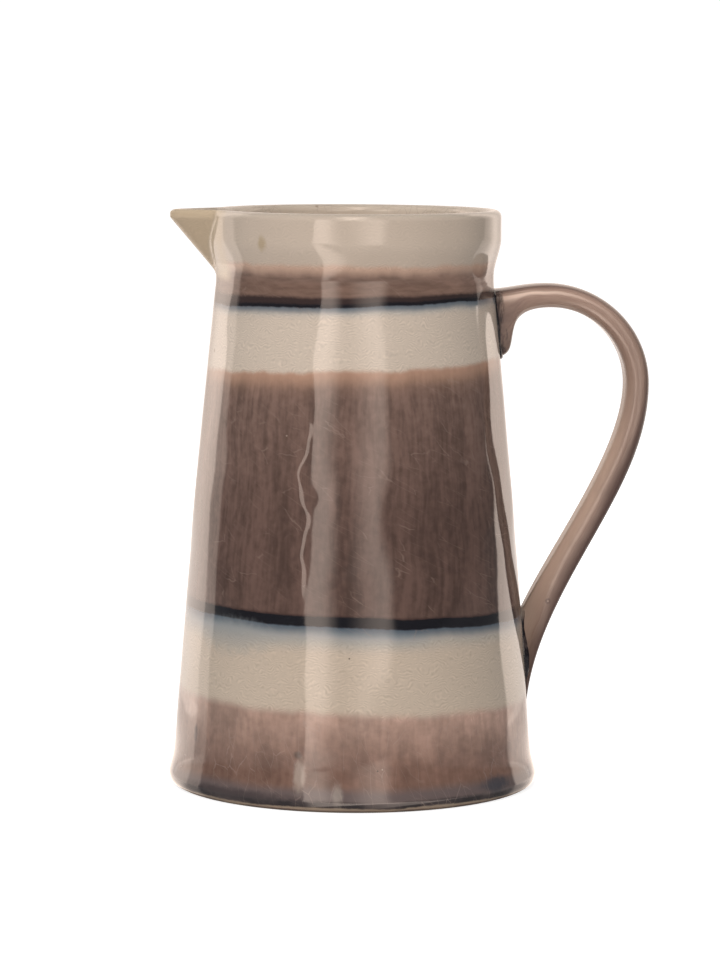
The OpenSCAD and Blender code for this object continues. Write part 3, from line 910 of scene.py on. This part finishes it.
def bareClay():
    material, shader, coords = newMaterial("bareClay")
    paint = clayPaint
    colour = clouded(coords, 45.0, 5.0, 0.35, 0.65, paint["deep"], paint["body"])
    colour = specked(colour, paint["grog"], coords, 330.0, 0.22, 0.75, 0.7)
    reach = vectorCalc("LENGTH", stretched(coords, 1, 1, 0), output=1)
    edge = fade(reach, *((pot["footRadius"] + d) * mm for d in paint["stainReach"]))
    edge = times(edge, fade(noise(coords, 60.0), 0.35, 0.65, 0.55, 0.95))
    colour = blend(edge, colour, paint["stain"])
    grit = noise(coords, 700.0, 4.0, 0.65)
    dress(shader, colour, remapped(noise(coords, 90.0), 0.72, 0.92), grit, 0.45, 0.0005)
    return material


bandMaterial = bandGlaze()
linerMaterial = linerGlaze()
handleMaterial = handleGlaze()
seamMaterial = seamSlip()
clayMaterial = bareClay()
print("materials made")

# Pieces of the pot, cut from its one skin

skin, skinRows = potSkin()
skinNormals = gridNormals(skin)

bandStarts = [skinRows[node] for node in bandNodes] + [skinRows["collar"]]
for node, first, last in zip(bandNodes, bandStarts, bandStarts[1:]):
    place(shellPiece(node + ".band", first, last), bandMaterial, bandSlots[node], node)

collarGlaze = shellPiece("collar_and_spout.glaze", skinRows["collar"], skinRows["crest"])
place(collarGlaze, bandMaterial, "cream_glaze", "collar_cream_glaze", "spout_glaze", "channel_glaze")


# clay of the collar and the beak: the skin from the neck over the lip to the inside, one coat deep
def collarClay():
    fromNeck = np.abs(skin[:, 0, 2] - high("neck_slip", axisZ))
    outerRow = np.argmin(fromNeck[: skinRows["lip"]])
    insideRow = skinRows["inside"] + np.argmin(fromNeck[skinRows["inside"]:])
    rows = np.arange(outerRow, insideRow + 1, pot["clayStep"])
    points = skin[rows] - coat * skinNormals[rows]
    return gridPiece("collar_and_spout.clay", points, skinNormals[rows], closed=True)


place(collarClay(), clayMaterial, "bare_clay", "collar", "spout", "spout_slip")


# liner: the skin from the crest of the lip to the floor, closed by itself one coat deeper
def linerPiece():
    seen = skin[skinRows["crest"]:]
    normals = skinNormals[skinRows["crest"]:]
    hidden = (seen - coat * normals)[:: -pot["hiddenStep"]]
    floorMiddle = pot["floor"] + pot["floorRise"]
    share = joined(np.linspace(0.03, 0.14, len(hidden)), np.linspace(0.16, 0.97, len(seen) + 1))
    return gridPiece(
        "liner.glaze",
        joined(hidden, seen),
        joined(-normals[:: -pot["hiddenStep"]], normals),
        startPole=(0, 0, floorMiddle - coat),
        endPole=(0, 0, floorMiddle),
        rowShare=share,
    )


place(linerPiece(), linerMaterial, "liner_glaze", "liner_glaze")


# foot slab: the skin of the underside and the bare edge, closed by its top under the glaze
def footPiece():
    last = bandStarts[0]
    angle = columnAngles()
    sideZ = np.linspace(pot["bareEdge"], pot["footTop"], pot["rows"]["slabSide"])[:, None] + 0 * angle
    sideR = potRadius(sideZ) - coat - pot["slabGap"]
    topR = np.linspace(1, pot["slabHole"], pot["rows"]["slabTop"])[1:, None] * sideR[-1:]
    hidden = joined(onPot(sideR, angle, sideZ), onPot(topR, angle, pot["footTop"]))
    points = joined(skin[:last + 1], hidden)
    share = joined(np.linspace(0.03, 0.85, last + 1), np.linspace(0.87, 0.97, len(hidden) + 1))
    return gridPiece(
        "foot_slab.clay",
        points,
        gridNormals(points),
        startPole=(0, 0, 0),
        endPole=(0, 0, pot["footTop"]),
        rowShare=share,
    )


place(footPiece(), clayMaterial, "bare_clay", "foot_slab")
print("pot made:", skin.shape[0], "rows of", skin.shape[1])

# Strap handle

strap = {
    "upperTop": high("upper_handle_slip", axisZ) - 1.2,
    "upperFoot": low("upper_handle_slip", axisZ) + 1.2,
    "lowerTop": high("lower_handle_slip", axisZ) - 1.2,
    "lowerFoot": low("lower_handle_slip", axisZ) + 1.2,
    "reach": high("handle_glaze", axisX),
    "crest": high("handle_glaze", axisZ),
    "reachDrop": 42.0,
    "crestOut": 24.0,
    "underOut": 1.5,
    "thick": 10.5,
    "width": 19.0,
    "jointWidth": 22.0,
    "widenPower": 6,
    "root": 4.0,
    "tongueRise": 1.6,  # the blunt foot of the tongue, above the joint's own foot
    "tonguePull": (17.6, -1.6),
    "filletPull": 28.0,
    "outerPull": 50.0,
    "innerPull": 30.8,
    "outerSettle": (3.8, 57.0),
    "innerSettle": (12.5, 23.7),
    "heelIn": 0.4,
    "crotchIn": (1.3, 6.6),
    "riseShare": 0.4,
    "quarter": 0.5523,  # Bezier share of a quarter turn
    "crownDeep": (3.9, 4.8),  # the ridge lies this far in from the outer edge, above and below
    "crownShift": (0.45, 0.3),  # share of the length where the ridge starts to move in, and over how much
    "crownMost": 0.6,  # and never further in than this share of the thickness
    "crownPower": 2.7,
    "bellyPower": (2.2, 2.4),
    "flatFrom": 0.92,  # the flat inner face starts at this share of the side
    "heelTaper": 0.45,  # the heel narrows to a rounded end, and is thumbed round the wall
    "heelFrom": 0.86,
    "thumbFrom": 0.82,
    "sunk": (1.0, 3.0),  # how far both ends run on into the wall
    "rings": 44,
    "sides": 64,
}


# control points of the two edges in x and height: root to crest, crest to farthest point, down to the heel
def strapEdges():
    def atWall(key, inward=0.0, rise=0.0):
        return np.array([float(potRadius(np.array(strap[key]))) - inward, strap[key] + rise])

    crest = np.array([atWall("upperTop", -strap["crestOut"])[0], strap["crest"]])
    under = crest + [strap["underOut"], -strap["thick"]]
    reachOut = np.array([strap["reach"], strap["upperTop"] - strap["reachDrop"]])
    reachIn = reachOut - [strap["thick"], 0]
    outerRoot = atWall("upperTop", strap["root"])
    innerRoot = atWall("upperFoot", strap["root"], strap["tongueRise"])
    outerHeel = atWall("lowerFoot", strap["heelIn"])
    crotch = atWall("lowerTop")
    innerHeel = crotch - strap["crotchIn"]
    rise = np.array([strap["riseShare"] * (crest[0] - outerRoot[0]), 0])
    outer = [
        [outerRoot, outerRoot + rise, crest - rise, crest],
        quarterTurn(crest, reachOut),
        [reachOut, reachOut - [0, strap["outerPull"]], outerHeel + strap["outerSettle"], outerHeel],
    ]
    inner = [
        [innerRoot, innerRoot + strap["tonguePull"], under - [strap["filletPull"], 0], under],
        quarterTurn(under, reachIn),
        [reachIn, reachIn - [0, strap["innerPull"]], crotch + strap["innerSettle"], innerHeel],
    ]
    return outer, inner


# quarter of an ellipse from a level start to an upright end
def quarterTurn(start, end):
    across = strap["quarter"] * (end[0] - start[0])
    down = strap["quarter"] * (start[1] - end[1])
    return [start, start + [across, 0], end + [0, down], end]


# section of the strap around its angle: a full crown, widest at the ridge, then a side that falls away
# to a flat inner face
def strapSection(angle, ridge):
    up = np.cos(angle)
    crown = np.clip(up, 0, 1)
    belly = np.clip(-up, 0, 1)
    full = strap["crownPower"]
    inner, outer = strap["bellyPower"]
    wide = np.where(up > 0, (1 - crown ** full) ** (1 / full), (1 - belly ** inner) ** (1 / outer))
    inward = np.minimum(belly / strap["flatFrom"], 1)
    through = np.where(up > 0, ridge + (1 - ridge) * crown, ridge - (1 + ridge) * inward)
    return through, np.sign(np.sin(angle)) * wide


# the section carried between the two edges, wider towards both joints, with its ends sunk in the wall
def strapGrid():
    t = np.linspace(0, 1, strap["rings"], endpoint=False)
    outer, inner = (joined(*(bezier(c, t) for c in edge), edge[-1][-1:]) for edge in strapEdges())
    angle = 2 * np.pi * (np.arange(strap["sides"]) + 0.5) / strap["sides"]
    middle = (outer + inner) / 2
    half = (outer - inner) / 2
    thick = 2 * np.linalg.norm(half, axis=1)[:, None]
    shareDown = np.linspace(0, 1, len(outer))
    crownUp, crownDown = strap["crownDeep"]
    shiftFrom, shiftOver = strap["crownShift"]
    crown = crownUp + (crownDown - crownUp) * ease((shareDown - shiftFrom) / shiftOver)
    ridge = 1 - 2 * np.minimum(crown[:, None] / thick, strap["crownMost"])
    through, wide = strapSection(angle[None, :], ridge)
    toJoint = np.abs(2 * shareDown - 1)
    width = strap["width"] + (strap["jointWidth"] - strap["width"]) * toJoint ** strap["widenPower"]
    toHeel = ease((shareDown - strap["heelFrom"]) / (1 - strap["heelFrom"]))
    width = width * (1 - strap["heelTaper"] * toHeel ** 2)
    flat = middle[:, None, :] + half[:, None, :] * through[..., None]
    across = width[:, None] / 2 * wide
    thumbed = ease((shareDown - strap["thumbFrom"]) / (1 - strap["thumbFrom"]))[:, None]
    flat[..., 0] -= thumbed * across ** 2 / (2 * pot["wallRadius"])
    points = np.stack([flat[..., 0], across, flat[..., 1]], axis=-1)
    sunkRoot, sunkHeel = strap["sunk"]
    points = joined(points[:1] - [sunkRoot, 0, 0], points, points[-1:] - [sunkHeel, 0, 0])
    stretch = np.linalg.norm(np.diff(middle, axis=0), axis=1)
    length = joined([0], np.cumsum(stretch))[:, None] / 100  # tenths of a metre
    spot = np.stack(np.broadcast_arrays(np.cos(angle)[None, :], np.sin(angle)[None, :], length), axis=-1)
    return points, joined(spot[:1], spot, spot[-1:])


# how far points stand off the wall
def offWall(points):
    return np.hypot(points[..., 0], points[..., 1]) - potRadius(points[..., 2])


# keeps a value at each point of a piece, for its material
def keep(piece, name, kind, field, values):
    attribute = piece.data.attributes.new(name, kind, "POINT")
    attribute.data.foreach_set(field, values.astype(np.float32).ravel())


strapPoints, strapPlaces = strapGrid()
strapPiece = gridPiece(
    "handle.strap",
    strapPoints,
    startPole=strapPoints[0].mean(0),
    endPole=strapPoints[-1].mean(0),
    rowShare=np.linspace(0.03, 0.97, len(strapPoints) + 1),
)
placeValues = joined(strapPlaces.reshape(-1, 3), strapPlaces[:1].mean(1), strapPlaces[-1:].mean(1))
keep(strapPiece, "strapPlace", "FLOAT_VECTOR", "vector", placeValues)
keep(strapPiece, "wallGap", "FLOAT", "value", np.append(offWall(strapPoints).ravel(), [-1, -1]))
place(strapPiece, handleMaterial, "mauve_glaze", "handle", "handle_glaze")

# beads of dark slip where the strap meets the wall: size at shares of the way up the loop
seams = {
    "upper": {"radius": 1.15, "swell": 0.4, "share": (0.0, 0.85, 1.0), "size": (1.0, 1.0, 0.3)},
    "lower": {
        "radius": 2.7,
        "swell": 0.2,
        "share": (0.0, 0.25, 0.36, 0.55, 0.72, 0.86, 0.95, 1.0),
        "size": (0.04, 0.05, 0.9, 1.0, 0.75, 0.5, 0.75, 0.85),
    },
    "sides": 14,
    "lumps": (5, 3),  # two waves around the loop whose product is the swell
}


# where each line along the strap leaves the wall: the first ring outside it, drawn back to the surface
def seamLoop(points):
    outside = offWall(points)
    ring = np.maximum(np.argmax(outside > 0, axis=0), 1)
    column = np.arange(points.shape[1])
    after = outside[ring, column]
    before = outside[ring - 1, column]
    share = (before / (before - after))[:, None]
    return points[ring - 1, column] * (1 - share) + points[ring, column] * share


# a round bead along a closed loop on the wall, its size drawn from the height
def beadPiece(name, loop, seam):
    tangent = unit(np.roll(loop, -1, axis=0) - np.roll(loop, 1, axis=0))
    outward = unit(loop * [1, 1, 0])
    sideways = np.cross(tangent, outward)
    run = np.linspace(0, 2 * np.pi, len(loop), endpoint=False)
    more, fewer = seams["lumps"]
    radius = seam["radius"] * (1 + seam["swell"] * np.sin(more * run + 1) * np.sin(fewer * run))
    share = (loop[:, 2] - loop[:, 2].min()) / np.ptp(loop[:, 2])
    radius = radius * np.interp(share, seam["share"], seam["size"])
    around = np.linspace(0, 2 * np.pi, seams["sides"], endpoint=False)[:, None, None]
    bead = loop + radius[:, None] * (np.cos(around) * outward + np.sin(around) * sideways)
    return gridPiece(name, bead, closed=True)


half = len(strapPoints) // 2
for end, rings in (("upper", strapPoints[:half]), ("lower", strapPoints[:half:-1])):
    bead = beadPiece(end + "_seam.slip", seamLoop(rings), seams[end])
    place(bead, seamMaterial, "slip", end + "_handle_slip")
print("handle made")

# CAD pieces that keep their own shape inside the glaze
for node, material in (("body_wall", clayMaterial), ("foot_slip", seamMaterial), ("neck_slip", seamMaterial)):
    giveMaterial(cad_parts[node], material)

# Stage

stageSize = {
    "floor": 3.4,  # metres
    "floorHole": 0.02,
    "floorGrid": (12, 96),  # rings, and points on each
    "floorGrey": 0.5,
    "glow": (0.82, 1.0),  # light that the floor adds for the camera, near the pot and far from it
    "glowReach": (0.15, 0.7),
    "mirrored": ((-55.0, -110.0, -90.0), (60.0, 120.0, 90.0)),  # reflections see the floor behind these lines
    "lineSoft": 0.002,
    "wallBearing": (121.5, 250.5),  # stretch of the backdrop, from the camera's side
    "wallRadius": 3.2,
    "wallLevels": (-0.01, 3.0),
    "wallColumns": 60,
    "wallGrey": 0.25,
}

view = {
    "bearing": 5.5,  # the camera stands this far towards the spout, in degrees
    "position": (-0.15746, -1.66448, 0.3137),
    "pitch": 83.88,
    "roll": 0.3,
    "lens": 143.5,
}

warm = (1.0, 0.83, 0.72)
plain = (1.0, 1.0, 1.0)


# direction at a bearing from the camera's side of the pot, positive to the right in the picture
def bearingWay(degrees):
    turn = math.radians(degrees - view["bearing"])
    return Vector((math.sin(turn), -math.cos(turn), 0))


# white stage surface: diffuse for the lamps, with a glow that only the camera and, warmer, reflections see.
# A line gives the bearing of the point of the foot where it starts, its own bearing and the side that glows
def stageWhite(name, grey, glow, lines=()):
    material, shader, coords = newMaterial(name)
    path = addNode(material.node_tree, "LightPath").outputs
    mirrored = calc("MAXIMUM", path["Is Glossy Ray"], path["Is Transmission Ray"])
    for start, bearing, turn in lines:
        sideways = bearingWay(bearing + turn)
        begin = sideways.dot(bearingWay(start) * pot["footRadius"] * mm)
        beside = vectorCalc("DOT_PRODUCT", coords, tuple(sideways), 1)
        mirrored = times(mirrored, fade(beside, begin - stageSize["lineSoft"], begin + stageSize["lineSoft"]))
    seen = calc("MAXIMUM", path["Is Camera Ray"], mirrored)
    strength = fade(vectorCalc("LENGTH", coords, output=1), *stageSize["glowReach"], *glow)
    feed((grey, grey, grey), shader["Base Color"])
    feed(0.9, shader["Roughness"])
    feed(0.0, shader["Specular IOR Level"])
    feed(blend(path["Is Camera Ray"], warm, plain), shader["Emission Color"])
    feed(times(seen, strength), shader["Emission Strength"])
    return material


# floor: a disc from rings of points, and backdrop: an upright arc
def stagePieces():
    ringCount, pointCount = stageSize["floorGrid"]
    turn = np.linspace(0, 2 * np.pi, pointCount, endpoint=False)
    rings = np.linspace(stageSize["floorHole"], stageSize["floor"], ringCount)[:, None]
    floor = gridPiece("floor", onPot(rings, turn, 0.0) / mm, startPole=(0, 0, 0))
    white = stageWhite("floorWhite", stageSize["floorGrey"], stageSize["glow"], stageSize["mirrored"])
    floor.data.materials.append(white)
    ends = [math.radians(b - view["bearing"]) for b in stageSize["wallBearing"]]
    arc = np.linspace(*ends, stageSize["wallColumns"])[:, None]
    sheet = onPot(stageSize["wallRadius"], arc, np.array(stageSize["wallLevels"]))
    number = np.arange(len(arc) * 2).reshape(-1, 2)
    faces = np.stack([number[:-1, 0], number[:-1, 1], number[1:, 1], number[1:, 0]], axis=-1)
    mesh = bpy.data.meshes.new("backdrop")
    mesh.from_pydata(sheet.reshape(-1, 3).tolist(), [], faces.tolist())
    mesh.materials.append(stageWhite("backdropWhite", stageSize["wallGrey"], (1.0, 1.0)))
    backdrop = addObject("backdrop", mesh)


stagePieces()

# soft boxes: bearing of both edges, share of the width over which each edge fades, middle height, distance,
# height, brightness and colour. A fill lights the clay but isn't mirrored in the glaze, and a box that isn't
# lit is only mirrored. A box may miss some pieces or reach only some
anyBox = {"wide": None, "fade": None, "dimFoot": 1.0, "colour": warm, "mirrored": True, "lit": True}
frontBox = {"z": 0.45, "tall": 1.3}
sideBox = {"z": 0.25, "away": 0.32, "tall": 0.5, "lit": False}
fillBox = {"colour": plain, "mirrored": False}
collarGlazes = ("collar_and_spout.glaze",)
upperGlazes = collarGlazes + ("neck_brown_glaze.band", "upper_blue_line.band")
softBoxes = {
    "frontLeft": {**frontBox, "edges": (-30.5, -8.0), "fade": (0.03, 0.62), "away": 1.6, "bright": 4.0},
    "frontRight": {**frontBox, "edges": (-6.0, 28.0), "fade": (0.7, 0.28), "away": 1.7, "bright": 2.9},
    "backLeft": {
        **sideBox,
        "edges": (-153.0, -111.6),
        "fade": (1.0, 0.04),
        "bright": 2.55,
        "dimFoot": 0.55,
        "misses": collarGlazes,
    },
    "backRight": {
        **sideBox,
        "edges": (108.6, 151.0),
        "fade": (0.03, 1.0),
        "bright": 2.2,
        "dimFoot": 0.55,
        "misses": upperGlazes + ("handle.strap",),
    },
    "collarLeft": {
        **sideBox, "edges": (-153.0, -111.6), "fade": (1.0, 0.08), "bright": 1.7, "only": collarGlazes
    },
    "collarRight": {
        **sideBox, "edges": (114.0, 151.0), "fade": (0.55, 0.9), "bright": 2.2, "only": upperGlazes
    },
    "sideLeft": {**sideBox, "edges": (-111.6, -99.0), "fade": (0.04, 0.04), "bright": 0.5},
    "fill": {**fillBox, "edges": (-52.0, 13.0), "z": 1.4, "away": 1.2, "tall": 0.9, "bright": 2.75},
    "backFill": {**fillBox, "edges": (163.0, 197.0), "z": 0.8, "away": 1.4, "tall": 1.0, "bright": 3.6},
    "above": {
        "edges": (-20.0, 20.0),
        "fade": (0.5, 0.5),
        "z": 1.17,
        "away": 0.9,
        "tall": 1.3,
        "wide": 0.6,
        "bright": 5.0,
        "lit": False,
    },
}
highBox = {"from": 1.0, "aim": 0.126}  # a box above this height is turned down to the middle of the pot
dimShare = 0.3  # a dimmed foot reaches up over this share of a box


# a lamp whose power gives the brightness seen in it, faded over a share of its width at both edges and
# towards its foot
def fadedLamp(name, wide, tall, bright, colour, edgeFade, dimFoot=1.0):
    lamp = bpy.data.lights.new(name, "AREA")
    lamp.shape = "RECTANGLE"
    lamp.size = wide
    lamp.size_y = tall
    lamp.energy = bright * math.pi * wide * tall
    lamp.color = colour
    if edgeFade:
        lamp.use_nodes = True
        tree = lamp.node_tree
        across, upward = parts(addNode(tree, "NewGeometry").outputs["Parametric"])[:2]
        strength = times(fade(across, 0.0, edgeFade[0]), fade(across, 1.0, 1 - edgeFade[1]))
        if dimFoot < 1:
            strength = times(strength, fade(upward, 0.0, dimShare, dimFoot, 1.0))
        emitter = next(n for n in tree.nodes if n.type == "EMISSION")
        feed(strength, emitter.inputs["Strength"])
    stand = addObject(name, lamp)
    stand.visible_camera = False
    return stand


# a lamp between two bearings, turned towards the pot
def softBox(name, box):
    first, last = box["edges"]
    wide = box["wide"] or 2 * box["away"] * math.tan(math.radians(last - first) / 2)
    stand = fadedLamp(name, wide, box["tall"], box["bright"], box["colour"], box["fade"], box["dimFoot"])
    stand.location = bearingWay((first + last) / 2) * box["away"] + Vector((0, 0, box["z"]))
    target = Vector((0, 0, highBox["aim"] if box["z"] > highBox["from"] else box["z"]))
    stand.rotation_euler = (target - stand.location).to_track_quat("-Z", "Y").to_euler()
    stand.visible_glossy = box["mirrored"]
    stand.visible_diffuse = box["lit"]
    chosen = box.get("misses") or box.get("only")
    if chosen:
        reached = bpy.data.collections.new(name + "Reach")
        for piece in chosen:
            reached.objects.link(bpy.data.objects[piece])
        for entry in reached.collection_objects:
            entry.light_linking.link_state = "EXCLUDE" if "misses" in box else "INCLUDE"
        stand.light_linking.receiver_collection = reached


# sheets of light on the floor that only reflections see, as if the boxes reached down past it: bearing of
# the point of the foot where one edge starts, bearing of that edge, side it lies on, length, width, fade from
# that edge and from the other one, brightness
floorSheets = {
    "frontLeftLow": (-15.5, -30.5, 90.0, 1.3, 0.17, (0.05, 0.7), 3.6),
    "frontRightLow": (0.0, 0.0, 90.0, 0.16, 0.13, (0.25, 0.6), 2.4),
    "backLeftLow": (-61.0, -122.0, -90.0, 0.34, 0.16, (0.05, 1.0), 1.4),
    "backRightLow": (59.0, 118.0, 90.0, 0.34, 0.16, (0.2, 1.0), 1.4),
}
sheetLift = 0.0005  # metres above the floor


# a lamp flat on the floor that faces up, one edge along a bearing
def floorSheet(name, start, bearing, turn, length, wide, edgeFade, bright):
    sideways = bearingWay(bearing + turn)
    stand = fadedLamp(name, wide, length, bright, warm, edgeFade)
    corner = bearingWay(start) * pot["footRadius"] * mm
    middle = corner + bearingWay(bearing) * length / 2 + sideways * wide / 2
    up = Vector((0, 0, 1))
    turned = Matrix((sideways, sideways.cross(up), -up)).transposed()
    stand.matrix_world = Matrix.Translation(middle + up * sheetLift) @ turned.to_4x4()
    stand.visible_diffuse = False


for name in softBoxes:
    softBox(name, {**anyBox, **softBoxes[name]})
for name in floorSheets:
    floorSheet(name, *floorSheets[name])

# the sky is dimmer in reflections
world = bpy.data.worlds.new("studio")
world.use_nodes = True
skyLight = next(n for n in world.node_tree.nodes if n.type == "BACKGROUND")
feed((0.40, 0.405, 0.41), skyLight.inputs["Color"])
mirroredSky = addNode(world.node_tree, "LightPath").outputs["Is Glossy Ray"]
feed(remapped(mirroredSky, 1.0, 0.3), skyLight.inputs["Strength"])
bpy.context.scene.world = world
bpy.context.scene.view_settings.view_transform = "Standard"

camera = bpy.data.cameras.new("camera")
camera.lens = view["lens"]
camera.sensor_width = 36.0
camera.sensor_fit = "AUTO"
camera.clip_end = 50.0
tripod = addObject("camera", camera)
turned = Matrix.Rotation(math.radians(-view["bearing"]), 4, "Z")
pitched = Matrix.Rotation(math.radians(view["pitch"]), 4, "X")
rolled = Matrix.Rotation(math.radians(view["roll"]), 4, "Z")
tripod.matrix_world = Matrix.Translation(view["position"]) @ turned @ pitched @ rolled
bpy.context.scene.camera = tripod
print("stage, lamps and camera made")
